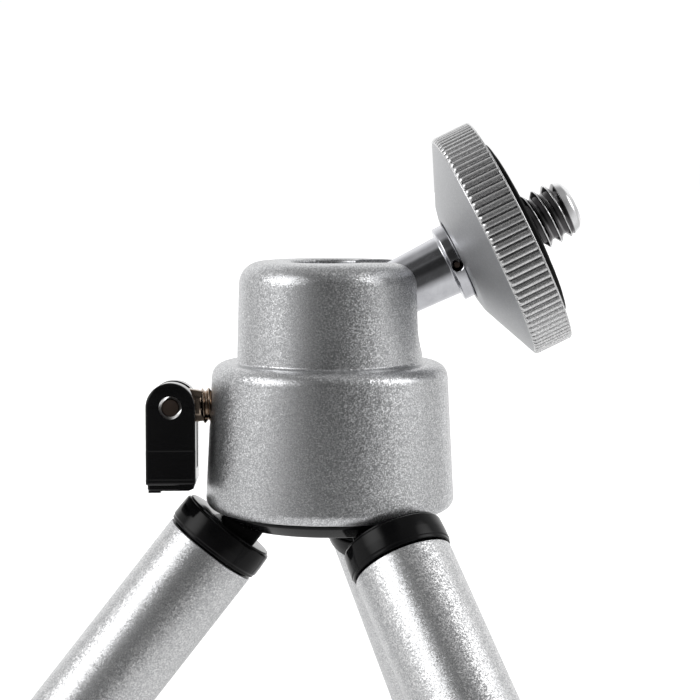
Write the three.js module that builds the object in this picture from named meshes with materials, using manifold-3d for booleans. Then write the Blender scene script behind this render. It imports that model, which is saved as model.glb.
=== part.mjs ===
// A mini tabletop tripod: a painted ball head with a knurled camera platform, a folding clamp lever,
// and three legs that fold at a hub and telescope in three sections.
//
// Millimetres, +Z up. The head's axis is vertical and the stem leans toward +X. While it is built, every
// height is measured from the head's top face; at the end the whole group moves so that its origin is the
// middle of the bottom of its box.

import * as THREE from 'three';
import { mergeVertices } from 'three/addons/utils/BufferGeometryUtils.js';
import Module from 'manifold-3d';

const DEG = Math.PI / 180;

// ---------------------------------------------------------------- driving dimensions

// clearance between neighbouring pieces
const GAP = 0.3;

// head housing: an upper and a lower tapering cylinder, heights from the top face
const HEAD = {
  bottom: -26.38,
  upperRadius: 9.61,
  upperShoulder: 2.44,
  ledge: -10.73,
  ledgeRadius: 9.9,
  lowerRadius: 12.52,
  lowerShoulder: 1.6,
  bottomRadius: 13.33,
  bottomRound: 1.2,
  openingRadius: 4.4,
  skirtRadius: 12.0,
  skirtCeiling: -20.5,
};

// ball and stem, distances along the stem from the ball's centre
const BALL = {
  height: -6.56,
  radius: 6.3,
  elevation: 25.97 * DEG,
};
const STEM = {
  rootRadius: 2.95,
  endRadius: 3.3,
  collarStart: 14.0,
  collarEnd: 15.4,
  collarRadius: 4.15,
  boreStart: 10.9,
  boreRadius: 2.15,
  slotHalfWidth: 3.4,
  collarEdge: 0.15,
  pinAt: 14.7,
  pinRadius: 0.35,
  pinHoleRadius: 0.62,
  pinRoll: 2.4 * DEG,
};

// camera platform, distances along the stem from the ball's centre
const DISK = {
  rimStart: 18.15,
  rimThickness: 4.29,
  radius: 12.68,
  toothDepth: 0.36,
  teeth: 96,
  teethStart: 0.35,
  teethEnd: 0.18,
  // the cone at the back from the inside out: radius and height behind the rim
  backSteps: [
    [5.1, 2.85],
    [6.2, 2.61],
  ],
  boreRadius: 2.2,
  pocketRadius: 4.7,
  pocketStart: 18.8,
  padSeat: 0.6,
  padSeatRadius: 10.1,
};
const WASHER = { start: 15.55, thickness: 0.5, radius: 3.85, seatRadius: 4.5, seatDepth: 1.05 };
const PAD = {
  // steps from the outside in: outer radius and height above the rim's front
  steps: [
    [9.8, 0.7],
    [9.1, 0.85],
    [6.95, 1.1],
  ],
  holeRadius: 3.6,
};
const CAMERA_SCREW = {
  radius: 3.175,
  pitch: 1.27,
  threadDepth: 0.68,
  start: 11.2,
  threadEnd: 27.75,
  tip: 28.85,
  pointRadius: 2.95,
  tipRadius: 1.9,
  shankRadius: 1.9,
  grooveRadius: 1.45,
  grooveWidth: 1.6,
  flangeRadius: 4.4,
  flangeStart: 19.1,
  flangeEnd: 21.3,
};

// clamp screw and lever, distances from the head's axis toward -X
const CLAMP = {
  height: -15.4,
  roll: -4 * DEG,
  tip: 5.0,
  coneEnd: 6.9,
  radius: 1.93,
  pitch: 0.7,
  threadDepth: 0.36,
  threadEnd: 13.9,
  eyeRadius: 2.1,
  eyeThickness: 2.6,
  holeRadius: 2.2,
};
const LEVER = {
  pinAt: 16.8,
  pinRadius: 0.95,
  pinHoleRadius: 1.2,
  pinLength: 9.6,
  halfWidth: 2.6,
  halfDepth: 5.0,
  length: 9.1,
  forkHalfWidth: 1.6,
  forkDepth: 6.6,
  forkWall: 1.4,
  bottomRound: 0.8,
};

// pressure cup under the ball
const CUP = { radius: 6.3, rim: -9.6, bottom: -18.4, mouthRadius: 2.9, endRadius: 1.2, pocketEnd: 4.2 };

// leg hub
const HUB = {
  radius: 11.75,
  top: -20.8,
  bottom: -28.0,
  bottomRadius: 9.9,
  sideBottom: -26.75,
  coreRadius: 4.5,
  slotWidth: 5.6,
  recessRadius: 3.4,
  recessDepth: 0.5,
  screwAt: 8.1,
};
const HUB_SCREW = {
  headRadius: 1.35,
  headHeight: 1.0,
  shankRadius: 0.8,
  bottom: -27.5,
  length: 10,
  pointLength: 0.6,
  recessWidth: 0.35,
  recessLength: 1.5,
  recessDepth: 0.5,
};

// legs: the hinge pins sit in a ring, and distances along a leg are from its hinge pin
const LEG = {
  names: ['left', 'front', 'rear'],
  firstAzimuth: 184.76 * DEG,
  splay: 38.34 * DEG,
  hingeRadius: 7.88,
  hingeHeight: -24.46,
};
const HINGE_PIN = { radius: 1.0, holeRadius: 1.27, length: 11.6 };
const KNUCKLE = {
  tongueRadius: 3.0,
  tongueWidth: 5.0,
  tongueFootInner: -3.0,
  tongueFootOuter: 1.2,
  padTop: 4.6,
  top: 4.8,
  bottom: 7.7,
  radius: 5.45,
  padRadius: 5.1,
  edge: 0.3,
  spigotRadius: 4.55,
  spigotEnd: 13.6,
};
const OUTER_TUBE = { start: 7.95, end: 76.0, radius: 5.25, boreRadius: 4.8, neckRadius: 4.25, neckLength: 1.0 };
const MID_TUBE = { start: 15.0, end: 78.0, radius: 4.0, boreRadius: 3.55, neckRadius: 3.05, neckLength: 1.0 };
const MID_BUSH = { start: 15.4, end: 19.4, radius: 4.6, boreRadius: 4.2 };
const INNER_TUBE = { start: 16.0, end: 88.0, radius: 2.8, boreRadius: 2.3 };
const INNER_BUSH = { start: 16.4, end: 20.4, radius: 3.35, boreRadius: 3.0 };
const FOOT = { start: 79.6, tip: 92.0, radius: 5.0, topRadius: 4.3, socketRadius: 3.05, socketEnd: 88.4 };

// sides of the round pieces
const ROUND_LARGE = 40;
const ROUND_MEDIUM = 20;
const ROUND_SMALL = 14;

// ---------------------------------------------------------------- materials

const silverPaint = new THREE.MeshStandardMaterial({ color: 0xa9abae, roughness: 0.42, metalness: 0.75 });
const chrome = new THREE.MeshStandardMaterial({ color: 0xc9cbd0, roughness: 0.08, metalness: 1.0 });
const darkChrome = new THREE.MeshStandardMaterial({ color: 0x8f9197, roughness: 0.15, metalness: 1.0 });
const tintedSteel = new THREE.MeshStandardMaterial({ color: 0x8a6a4a, roughness: 0.3, metalness: 1.0 });
const brightTube = new THREE.MeshStandardMaterial({ color: 0xc4c6ca, roughness: 0.25, metalness: 0.9 });
const glossBlack = new THREE.MeshStandardMaterial({ color: 0x0b0b0c, roughness: 0.12, metalness: 0.0 });
const rubber = new THREE.MeshStandardMaterial({ color: 0x151515, roughness: 0.75, metalness: 0.0 });
const bushPlastic = new THREE.MeshStandardMaterial({ color: 0xd8d8d2, roughness: 0.5, metalness: 0.0 });

// ---------------------------------------------------------------- solids

const wasm = await Module();
wasm.setup();

// A geometry with only its positions, and with shared vertices merged.
function bare(geometry) {
  const copy = new THREE.BufferGeometry();
  copy.setAttribute('position', geometry.getAttribute('position'));
  copy.setIndex(geometry.getIndex());
  return mergeVertices(copy, 1e-4);
}

function toSolid(geometry) {
  const merged = bare(geometry);
  return new wasm.Manifold(new wasm.Mesh({
    numProp: 3,
    vertProperties: new Float32Array(merged.getAttribute('position').array),
    triVerts: new Uint32Array(merged.getIndex().array),
  }));
}

function toGeometry(solid) {
  const mesh = solid.getMesh();
  const geometry = new THREE.BufferGeometry();
  geometry.setAttribute('position', new THREE.BufferAttribute(mesh.vertProperties, 3));
  geometry.setIndex(new THREE.BufferAttribute(mesh.triVerts, 1));
  const faceted = geometry.toNonIndexed();
  faceted.computeVertexNormals();
  return faceted;
}

function cut(geometry, ...tools) {
  return toGeometry(tools.reduce((solid, tool) => solid.subtract(toSolid(tool)), toSolid(geometry)));
}

function join(geometry, ...others) {
  return toGeometry(others.reduce((solid, other) => solid.add(toSolid(other)), toSolid(geometry)));
}

function common(geometry, other) {
  return toGeometry(toSolid(geometry).intersect(toSolid(other)));
}

// A body of revolution about Z. The outline is a Path in (radius, height) that runs counter-clockwise,
// and it is closed here unless both its ends are on the axis.
function turned(path, segments, arcSteps = 2) {
  const points = path.getPoints(arcSteps);
  const first = points[0];
  const last = points[points.length - 1];
  const onAxis = first.x === 0 && last.x === 0;
  if (!onAxis && first.distanceTo(last) > 1e-6) {
    points.push(first.clone());
  }
  return new THREE.LatheGeometry(points, segments).rotateX(Math.PI / 2);
}

// A Path through straight points.
function outline(...corners) {
  return new THREE.Path(corners.map(([radius, height]) => new THREE.Vector2(radius, height)));
}

// A round bar along Z.
function bar(radius, from, to, segments = ROUND_SMALL) {
  const length = to - from;
  const geometry = new THREE.CylinderGeometry(radius, radius, length, segments);
  return geometry.rotateX(Math.PI / 2).translate(0, 0, (from + to) / 2);
}

// A tube along -Z from `start` to `end`, with a narrower neck at its far end.
function neckedTube({ start, end, radius, boreRadius, neckRadius, neckLength }) {
  return turned(outline(
    [neckRadius, -end],
    [radius, -end],
    [radius, -start],
    [boreRadius, -start],
    [boreRadius, -end + neckLength],
    [neckRadius, -end + neckLength * 0.6],
  ), ROUND_MEDIUM);
}

function sleeve({ start, end, radius, boreRadius }) {
  return turned(outline(
    [boreRadius, -end],
    [radius, -end],
    [radius, -start],
    [boreRadius, -start],
  ), ROUND_MEDIUM);
}

// A flat shape in the XZ plane given a thickness along Y, half to each side.
function slab(shape, thickness, curveSegments = 6) {
  const geometry = new THREE.ExtrudeGeometry(shape, { depth: thickness, bevelEnabled: false, curveSegments });
  return geometry.translate(0, 0, -thickness / 2).rotateX(Math.PI / 2);
}

// A threaded rod along Z: a round bar with one helical ridge pressed into its side.
function threadedRod({ radius, pitch, threadDepth }, from, to, segments, samplesPerPitch) {
  const length = to - from;
  const rows = Math.ceil((length / pitch) * samplesPerPitch);
  const geometry = new THREE.CylinderGeometry(radius, radius, length, segments, rows);
  geometry.rotateX(Math.PI / 2).translate(0, 0, (from + to) / 2);
  const position = geometry.getAttribute('position');
  for (let i = 0; i < position.count; i += 1) {
    const x = position.getX(i);
    const y = position.getY(i);
    const z = position.getZ(i);
    const distance = Math.hypot(x, y);
    if (distance > radius / 2) {
      const turns = z / pitch - Math.atan2(y, x) / (2 * Math.PI);
      const fromRoot = Math.abs(turns - Math.round(turns)) * 2;
      const fade = Math.min(1, (z - from) / (pitch / 2), (to - z) / (pitch / 2));
      const ridge = THREE.MathUtils.clamp(fromRoot * 1.6 - 0.3, 0, 1);
      const scale = (radius - threadDepth * (1 - Math.max(0, fade) * ridge)) / distance;
      position.setXY(i, x * scale, y * scale);
    }
  }
  return geometry;
}

function node(name, geometry, material) {
  const mesh = new THREE.Mesh(geometry, material);
  mesh.name = name;
  return mesh;
}

// ---------------------------------------------------------------- places

// The middle of a leg's sector, or halfway between two legs.
const legAzimuth = (index) => LEG.firstAzimuth + index * 120 * DEG;
const screwAzimuth = (index) => legAzimuth(index) + 60 * DEG;

function atAzimuth(geometry, azimuth) {
  return geometry.rotateZ(azimuth);
}

// ---------------------------------------------------------------- head

function hingePinHole(index) {
  const hole = bar(HINGE_PIN.holeRadius, -HUB.radius, HUB.radius).rotateX(Math.PI / 2);
  return atAzimuth(hole.translate(LEG.hingeRadius, 0, LEG.hingeHeight), legAzimuth(index));
}

// The U-shaped cut that lets the stem lie down toward +X.
function stemSlot() {
  const shape = new THREE.Shape();
  const width = STEM.slotHalfWidth;
  shape.moveTo(-width, 8);
  shape.lineTo(-width, 0);
  shape.absarc(0, 0, width, Math.PI, 2 * Math.PI, false);
  shape.lineTo(width, 8);
  const reach = HEAD.bottomRadius;
  return slab(shape, reach, 8).rotateZ(Math.PI / 2).translate(reach / 2, 0, BALL.height);
}

function headHousing() {
  const seat = BALL.radius + GAP;
  const seatEnd = Math.acos(HEAD.openingRadius / seat);
  const shoulder = HEAD.upperShoulder;
  const lower = HEAD.lowerShoulder;
  const round = HEAD.bottomRound;
  const path = new THREE.Path();
  path.moveTo(HEAD.skirtRadius, HEAD.bottom);
  path.lineTo(HEAD.bottomRadius - round, HEAD.bottom);
  path.absarc(HEAD.bottomRadius - round, HEAD.bottom + round, round, -Math.PI / 2, 0, false);
  path.lineTo(HEAD.lowerRadius, HEAD.ledge - lower);
  path.absarc(HEAD.lowerRadius - lower, HEAD.ledge - lower, lower, 0, Math.PI / 2, false);
  path.lineTo(HEAD.ledgeRadius, HEAD.ledge);
  path.lineTo(HEAD.upperRadius, -shoulder);
  path.absarc(HEAD.upperRadius - shoulder, -shoulder, shoulder, 0, Math.PI / 2, false);
  path.lineTo(HEAD.openingRadius, 0);
  path.absarc(0, BALL.height, seat, seatEnd, 0, true);
  path.lineTo(seat, HEAD.skirtCeiling);
  path.lineTo(HEAD.skirtRadius, HEAD.skirtCeiling);
  const casting = turned(path, ROUND_LARGE);
  const clampHole = bar(CLAMP.holeRadius, 5, 14).rotateY(-Math.PI / 2).translate(0, 0, CLAMP.height);
  const screwTop = HUB_SCREW.bottom + HUB_SCREW.length + GAP;
  const screwHoles = LEG.names.map((_, index) => atAzimuth(
    bar(HUB_SCREW.shankRadius + GAP, HEAD.skirtCeiling - 1, screwTop).translate(HUB.screwAt, 0, 0),
    screwAzimuth(index),
  ));
  return cut(casting, stemSlot(), clampHole, ...screwHoles);
}

// Pressure cup: the ball rests in its hollow top, and the clamp screw's cone lifts it by a side pocket.
function pressureCup() {
  const hollow = BALL.radius + GAP;
  const rimAngle = Math.asin((CUP.rim - BALL.height) / hollow);
  const path = new THREE.Path();
  path.moveTo(0, CUP.bottom);
  path.lineTo(CUP.radius, CUP.bottom);
  path.lineTo(CUP.radius, CUP.rim);
  path.lineTo(hollow * Math.cos(rimAngle), CUP.rim);
  path.absarc(0, BALL.height, hollow, rimAngle, -Math.PI / 2, true);
  const body = turned(path, ROUND_MEDIUM);
  const depth = CUP.radius - CUP.pocketEnd + 1;
  const pocket = new THREE.CylinderGeometry(CUP.mouthRadius, CUP.endRadius, depth, ROUND_SMALL);
  pocket.rotateZ(Math.PI / 2).translate(-CUP.pocketEnd - depth / 2, 0, CLAMP.height);
  return cut(body, pocket);
}

function legHub() {
  const body = turned(outline(
    [0, HUB.bottom + HUB.recessDepth],
    [HUB.recessRadius, HUB.bottom + HUB.recessDepth],
    [HUB.recessRadius + HUB.recessDepth, HUB.bottom],
    [HUB.bottomRadius, HUB.bottom],
    [HUB.radius, HUB.sideBottom],
    [HUB.radius, HUB.top],
    [0, HUB.top],
  ), ROUND_LARGE);
  const slotLength = HUB.radius;
  const slots = LEG.names.map((_, index) => atAzimuth(
    new THREE.BoxGeometry(slotLength, HUB.slotWidth, 20)
      .translate(HUB.coreRadius + slotLength / 2, 0, HUB.top - 5),
    legAzimuth(index),
  ));
  const pinHoles = LEG.names.map((_, index) => hingePinHole(index));
  const screwHoles = LEG.names.map((_, index) => {
    const shank = bar(HUB_SCREW.shankRadius + GAP, HUB.bottom - 1, HUB.top + 1);
    const head = bar(HUB_SCREW.headRadius + GAP, HUB.bottom - 1, HUB_SCREW.bottom + HUB_SCREW.headHeight + GAP);
    return atAzimuth(join(shank, head).translate(HUB.screwAt, 0, 0), screwAzimuth(index));
  });
  return cut(body, ...slots, ...pinHoles, ...screwHoles);
}

// A pan-head screw with a cross recess, its head down.
function hubScrew() {
  const { headRadius, headHeight, shankRadius, bottom, length, pointLength } = HUB_SCREW;
  const { recessWidth, recessLength, recessDepth } = HUB_SCREW;
  const body = turned(outline(
    [0, bottom],
    [headRadius * 0.7, bottom],
    [headRadius, bottom + headHeight * 0.4],
    [headRadius, bottom + headHeight],
    [shankRadius, bottom + headHeight],
    [shankRadius, bottom + length - pointLength],
    [shankRadius * 0.4, bottom + length],
    [0, bottom + length],
  ), ROUND_SMALL);
  const blades = [0, 90 * DEG].map((turn) => new THREE.BoxGeometry(recessLength, recessWidth, 2 * recessDepth)
    .rotateZ(turn)
    .translate(0, 0, bottom));
  return cut(body, ...blades);
}

// ---------------------------------------------------------------- ball stem and platform, +Z along the stem

function ballStem() {
  const stemStart = Math.sqrt(BALL.radius ** 2 - STEM.rootRadius ** 2);
  const path = new THREE.Path();
  path.moveTo(0, -BALL.radius);
  path.absarc(0, 0, BALL.radius, -Math.PI / 2, Math.atan2(stemStart, STEM.rootRadius), false);
  path.lineTo(STEM.endRadius, STEM.collarStart);
  path.lineTo(STEM.collarRadius - STEM.collarEdge, STEM.collarStart);
  path.lineTo(STEM.collarRadius, STEM.collarStart + STEM.collarEdge);
  path.lineTo(STEM.collarRadius, STEM.collarEnd - STEM.collarEdge);
  path.lineTo(STEM.collarRadius - STEM.collarEdge, STEM.collarEnd);
  path.lineTo(STEM.boreRadius, STEM.collarEnd);
  path.lineTo(STEM.boreRadius, STEM.boreStart);
  path.lineTo(0, STEM.boreStart - STEM.boreRadius * 0.3);
  const body = turned(path, ROUND_MEDIUM, 5);
  return cut(body, acrossStem(bar(STEM.pinHoleRadius, 1, STEM.collarRadius + 1)));
}

// Lays a piece that runs along Z at right angles to the stem, at the set pin's place and turn.
function acrossStem(geometry) {
  return geometry.rotateX(Math.PI / 2).rotateZ(STEM.pinRoll).translate(0, 0, STEM.pinAt);
}

function stemSetPin() {
  const start = CAMERA_SCREW.grooveRadius + GAP;
  return acrossStem(bar(STEM.pinRadius, start, STEM.collarRadius - 0.6, ROUND_SMALL));
}

function thrustWasher() {
  const { start, thickness, radius } = WASHER;
  return turned(outline(
    [STEM.boreRadius, start],
    [radius, start],
    [radius, start + thickness],
    [STEM.boreRadius, start + thickness],
  ), ROUND_MEDIUM);
}

function platformDisk() {
  const { rimStart, rimThickness, radius, toothDepth, teeth, boreRadius, padSeat, padSeatRadius } = DISK;
  const rimEnd = rimStart + rimThickness;
  const valley = radius - toothDepth;
  const back = DISK.backSteps.map(([stepRadius, height]) => [stepRadius, rimStart - height]);
  const backFace = back[0][1];
  const body = turned(outline(
    [boreRadius, backFace + WASHER.seatDepth],
    [WASHER.seatRadius, backFace + WASHER.seatDepth],
    [WASHER.seatRadius, backFace],
    ...back,
    [valley, rimStart],
    [valley, rimEnd],
    [padSeatRadius, rimEnd],
    [padSeatRadius, rimEnd - padSeat],
    [DISK.pocketRadius, rimEnd - padSeat],
    [DISK.pocketRadius, DISK.pocketStart],
    [boreRadius, DISK.pocketStart],
  ), ROUND_LARGE);
  const teethOutline = new THREE.Shape(Array.from({ length: teeth * 2 }, (_, step) => {
    const reach = step % 2 ? radius : valley - 0.05;
    const angle = (step * Math.PI) / teeth;
    return new THREE.Vector2(reach * Math.cos(angle), reach * Math.sin(angle));
  }));
  const inside = new THREE.Path();
  inside.absarc(0, 0, (padSeatRadius + valley) / 2, 0, 2 * Math.PI, true);
  teethOutline.holes.push(inside);
  const knurl = new THREE.ExtrudeGeometry(teethOutline, {
    depth: rimThickness - DISK.teethStart - DISK.teethEnd,
    bevelEnabled: false,
    curveSegments: ROUND_MEDIUM,
  });
  return join(body, knurl.translate(0, 0, rimStart + DISK.teethStart));
}

function platformPad() {
  const front = DISK.rimStart + DISK.rimThickness;
  const back = front - DISK.padSeat + GAP;
  const [outer, middle, inner] = PAD.steps;
  return turned(outline(
    [PAD.holeRadius, back],
    [outer[0], back],
    [outer[0], front + outer[1]],
    [middle[0], front + outer[1]],
    [middle[0], front + middle[1]],
    [inner[0], front + middle[1]],
    [inner[0], front + inner[1]],
    [PAD.holeRadius, front + inner[1]],
  ), ROUND_LARGE);
}

function cameraScrew() {
  const screw = CAMERA_SCREW;
  const grooveStart = STEM.pinAt - screw.grooveWidth / 2;
  const grooveEnd = STEM.pinAt + screw.grooveWidth / 2;
  const core = screw.radius - screw.threadDepth;
  const shank = turned(outline(
    [0, screw.start],
    [screw.shankRadius, screw.start],
    [screw.shankRadius, grooveStart],
    [screw.grooveRadius, grooveStart],
    [screw.grooveRadius, grooveEnd],
    [screw.shankRadius, grooveEnd],
    [screw.shankRadius, screw.flangeStart],
    [screw.flangeRadius, screw.flangeStart],
    [screw.flangeRadius, screw.flangeEnd],
    [core, screw.flangeEnd],
    [core, screw.flangeEnd + 1],
    [0, screw.flangeEnd + 1],
  ), ROUND_MEDIUM);
  const point = new THREE.Path();
  point.moveTo(0, screw.threadEnd - 1);
  point.lineTo(core, screw.threadEnd - 1);
  point.lineTo(core, screw.threadEnd - 0.6);
  point.lineTo(screw.pointRadius, screw.threadEnd - 0.15);
  point.quadraticCurveTo(screw.pointRadius - 0.1, screw.tip, screw.tipRadius, screw.tip);
  point.lineTo(0, screw.tip);
  const thread = threadedRod(screw, screw.flangeEnd + 0.5, screw.threadEnd, 16, 3);
  return join(shank, thread, turned(point, ROUND_MEDIUM));
}

// ---------------------------------------------------------------- clamp, in the head's directions

function clampScrew() {
  const pinHole = bar(LEVER.pinHoleRadius, -3, 3).rotateX(Math.PI / 2).translate(-LEVER.pinAt, 0, 0);
  const core = CLAMP.radius - CLAMP.threadDepth;
  const tip = turned(outline(
    [0, CLAMP.tip],
    [0.8, CLAMP.tip],
    [core, CLAMP.coneEnd],
    [core, CLAMP.coneEnd + 1],
    [0, CLAMP.coneEnd + 1],
  ), ROUND_SMALL);
  const rod = threadedRod(CLAMP, CLAMP.coneEnd, CLAMP.threadEnd, 12, 2);
  const screw = join(rod, tip).rotateY(-Math.PI / 2);
  const eye = new THREE.Shape();
  eye.absarc(-LEVER.pinAt, 0, CLAMP.eyeRadius, Math.PI / 2, Math.PI * 1.5, false);
  eye.lineTo(-CLAMP.threadEnd + 0.5, -core);
  eye.lineTo(-CLAMP.threadEnd + 0.5, core);
  return cut(join(screw, slab(eye, CLAMP.eyeThickness)), pinHole);
}

// The lever: a fork with a round head about its pin, straight sides and an arched bottom end.
function clampLever() {
  const { pinAt, halfWidth, halfDepth, length, forkHalfWidth, forkDepth, forkWall, bottomRound } = LEVER;
  const inner = -pinAt + halfWidth;
  const outer = -pinAt - halfWidth;
  const side = new THREE.Shape();
  side.moveTo(inner, 0);
  side.absarc(-pinAt, 0, halfWidth, 0, Math.PI, false);
  side.lineTo(outer, -length);
  side.lineTo(inner - bottomRound, -length);
  side.absarc(inner - bottomRound, -length + bottomRound, bottomRound, -Math.PI / 2, 0, false);
  const sweep = bar(length, -inner - 1, -outer + 1, ROUND_LARGE).rotateY(-Math.PI / 2);
  const body = common(slab(side, 2 * halfDepth, 8), sweep);
  const forkTop = halfWidth + 1;
  const eyeRoom = CLAMP.eyeRadius + GAP;
  const through = new THREE.BoxGeometry(3 * halfWidth, 2 * forkHalfWidth, forkTop + eyeRoom)
    .translate(-pinAt, 0, (forkTop - eyeRoom) / 2);
  const pocketReach = 2 * halfWidth - forkWall;
  const pocket = new THREE.BoxGeometry(pocketReach, 2 * forkHalfWidth, forkDepth)
    .translate(inner - pocketReach / 2 + GAP, 0, -forkDepth / 2);
  const pinHole = bar(LEVER.pinHoleRadius, -halfDepth - 1, halfDepth + 1).rotateX(Math.PI / 2).translate(-pinAt, 0, 0);
  return cut(body, through, pocket, pinHole);
}

function leverPin() {
  const half = LEVER.pinLength / 2;
  return bar(LEVER.pinRadius, -half, half, 16).rotateX(Math.PI / 2).translate(-LEVER.pinAt, 0, 0);
}

// ---------------------------------------------------------------- legs, -Z along the leg from the hinge pin

// Knuckle: a tongue that turns on the hinge pin, a flanged cap, and a spigot inside the outer tube.
function knuckle() {
  const { tongueRadius, tongueWidth, tongueFootInner, tongueFootOuter } = KNUCKLE;
  const { padTop, top, bottom, radius, padRadius, edge, spigotRadius, spigotEnd } = KNUCKLE;
  const tongue = new THREE.Shape();
  tongue.moveTo(tongueFootInner, -top - 0.5);
  tongue.lineTo(tongueFootOuter, -top - 0.5);
  tongue.lineTo(tongueFootOuter, -padTop);
  tongue.absarc(0, 0, tongueRadius, -22 * DEG, Math.PI, false);
  const cap = turned(outline(
    [0, -spigotEnd],
    [spigotRadius - edge, -spigotEnd],
    [spigotRadius, -spigotEnd + edge],
    [spigotRadius, -bottom],
    [radius - edge, -bottom],
    [radius, -bottom + edge],
    [radius, -top - edge],
    [radius - edge, -top],
    [padRadius, -top],
    [padRadius, -padTop],
    [0, -padTop],
  ), ROUND_MEDIUM);
  const pinHole = bar(HINGE_PIN.holeRadius, -4, 4).rotateX(Math.PI / 2);
  return cut(join(cap, slab(tongue, tongueWidth)), pinHole);
}

function foot() {
  const { start, tip, radius, topRadius, socketRadius, socketEnd } = FOOT;
  const path = new THREE.Path();
  path.moveTo(0, -tip);
  path.absarc(0, -tip + radius, radius, -Math.PI / 2, 0, false);
  path.lineTo(topRadius, -start);
  path.lineTo(socketRadius, -start);
  path.lineTo(socketRadius, -socketEnd);
  path.lineTo(0, -socketEnd);
  return turned(path, ROUND_MEDIUM, 3);
}

function leg(name, azimuth) {
  const group = new THREE.Group();
  group.position.set(
    LEG.hingeRadius * Math.cos(azimuth),
    LEG.hingeRadius * Math.sin(azimuth),
    LEG.hingeHeight,
  );
  group.rotation.set(0, -LEG.splay, azimuth, 'ZYX');
  const half = HINGE_PIN.length / 2;
  group.add(
    node(`${name}_leg_hinge_pin`, bar(HINGE_PIN.radius, -half, half, 16).rotateX(Math.PI / 2), chrome),
    node(`${name}_leg_knuckle`, knuckle(), glossBlack),
    node(`${name}_leg_outer_tube`, neckedTube(OUTER_TUBE), silverPaint),
    node(`${name}_leg_mid_bush`, sleeve(MID_BUSH), bushPlastic),
    node(`${name}_leg_mid_tube`, neckedTube(MID_TUBE), brightTube),
    node(`${name}_leg_inner_bush`, sleeve(INNER_BUSH), bushPlastic),
    node(`${name}_leg_inner_tube`, sleeve(INNER_TUBE), brightTube),
    node(`${name}_leg_foot`, foot(), rubber),
  );
  return group;
}

// ---------------------------------------------------------------- assembly

const head = new THREE.Group();
head.add(
  node('head_housing', headHousing(), silverPaint),
  node('pressure_cup', pressureCup(), bushPlastic),
  node('leg_hub', legHub(), glossBlack),
);
LEG.names.forEach((_, index) => {
  const screw = node(`hub_screw_${index + 1}`, hubScrew(), chrome);
  const azimuth = screwAzimuth(index);
  screw.position.set(HUB.screwAt * Math.cos(azimuth), HUB.screwAt * Math.sin(azimuth), 0);
  head.add(screw);
});

const stem = new THREE.Group();
stem.position.z = BALL.height;
stem.rotation.y = Math.PI / 2 - BALL.elevation;
stem.add(
  node('ball_stem', ballStem(), chrome),
  node('stem_set_pin', stemSetPin(), darkChrome),
  node('thrust_washer', thrustWasher(), bushPlastic),
  node('platform_disk', platformDisk(), silverPaint),
  node('platform_pad', platformPad(), rubber),
  node('camera_screw', cameraScrew(), darkChrome),
);

const clamp = new THREE.Group();
clamp.position.z = CLAMP.height;
clamp.rotation.x = CLAMP.roll;
clamp.add(
  node('clamp_screw', clampScrew(), tintedSteel),
  node('clamp_lever', clampLever(), glossBlack),
  node('lever_pin', leverPin(), tintedSteel),
);

const tripod = new THREE.Group();
tripod.add(head, stem, clamp);
LEG.names.forEach((name, index) => tripod.add(leg(name, legAzimuth(index))));

// the origin goes to the middle of the bottom of the box
tripod.updateMatrixWorld(true);
const box = new THREE.Box3().setFromObject(tripod, true);
const middle = box.getCenter(new THREE.Vector3());
tripod.position.set(-middle.x, -middle.y, -box.min.z);

export default tripod;
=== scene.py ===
"""Looks of the mini tabletop tripod: finer pieces, materials, camera, floor and light around the CAD."""

import math

import bmesh
import bpy
from mathutils import Matrix, Vector


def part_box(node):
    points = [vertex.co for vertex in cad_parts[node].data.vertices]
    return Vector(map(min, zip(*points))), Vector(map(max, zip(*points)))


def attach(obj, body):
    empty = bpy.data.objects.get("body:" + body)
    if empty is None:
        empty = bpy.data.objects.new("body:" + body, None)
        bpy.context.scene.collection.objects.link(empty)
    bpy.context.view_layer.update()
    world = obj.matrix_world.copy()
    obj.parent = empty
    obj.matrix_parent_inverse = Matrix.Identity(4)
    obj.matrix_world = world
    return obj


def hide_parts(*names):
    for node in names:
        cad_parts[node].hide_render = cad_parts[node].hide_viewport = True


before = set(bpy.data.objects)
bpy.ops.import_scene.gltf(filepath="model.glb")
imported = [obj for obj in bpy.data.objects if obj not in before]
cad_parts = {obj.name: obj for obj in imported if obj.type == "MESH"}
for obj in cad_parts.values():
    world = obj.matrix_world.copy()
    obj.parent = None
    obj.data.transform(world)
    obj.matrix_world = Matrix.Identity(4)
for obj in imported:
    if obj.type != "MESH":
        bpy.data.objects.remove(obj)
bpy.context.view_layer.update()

MM = 0.001
TURN = 2 * math.pi
HALF_TURN = math.pi
QUARTER_TURN = math.pi / 2

# ------------------------------------------------------------------ sizes in mm, as in the CAD source

# head housing, heights from its top face
HEAD_BOTTOM, HEAD_BOTTOM_RADIUS, HEAD_BOTTOM_ROUND = -26.38, 13.33, 1.2
LEDGE, LEDGE_RADIUS = -10.73, 9.9
LOWER_RADIUS, LOWER_SHOULDER = 12.52, 1.6
UPPER_RADIUS, UPPER_SHOULDER = 9.61, 2.44
OPENING_RADIUS = 4.4
SEAT_RADIUS = 6.6
SKIRT_RADIUS, SKIRT_CEILING = 12.0, -20.5

# ball and stem, distances along the stem from the ball's centre
BALL_HEIGHT, BALL_RADIUS = -6.56, 6.3
STEM_ELEVATION = math.radians(25.97)
STEM_ROOT, STEM_END = 2.95, 3.3
COLLAR_START, COLLAR_END, COLLAR_RADIUS = 14.0, 15.4, 4.15
STEM_BORE_START, STEM_BORE_RADIUS = 10.9, 2.15
SLOT_HALF_WIDTH = 3.4
SET_PIN_AT, SET_PIN_RADIUS, SET_PIN_HOLE = 14.7, 0.35, 0.62
SET_PIN_ROLL = math.radians(2.4)

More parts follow.
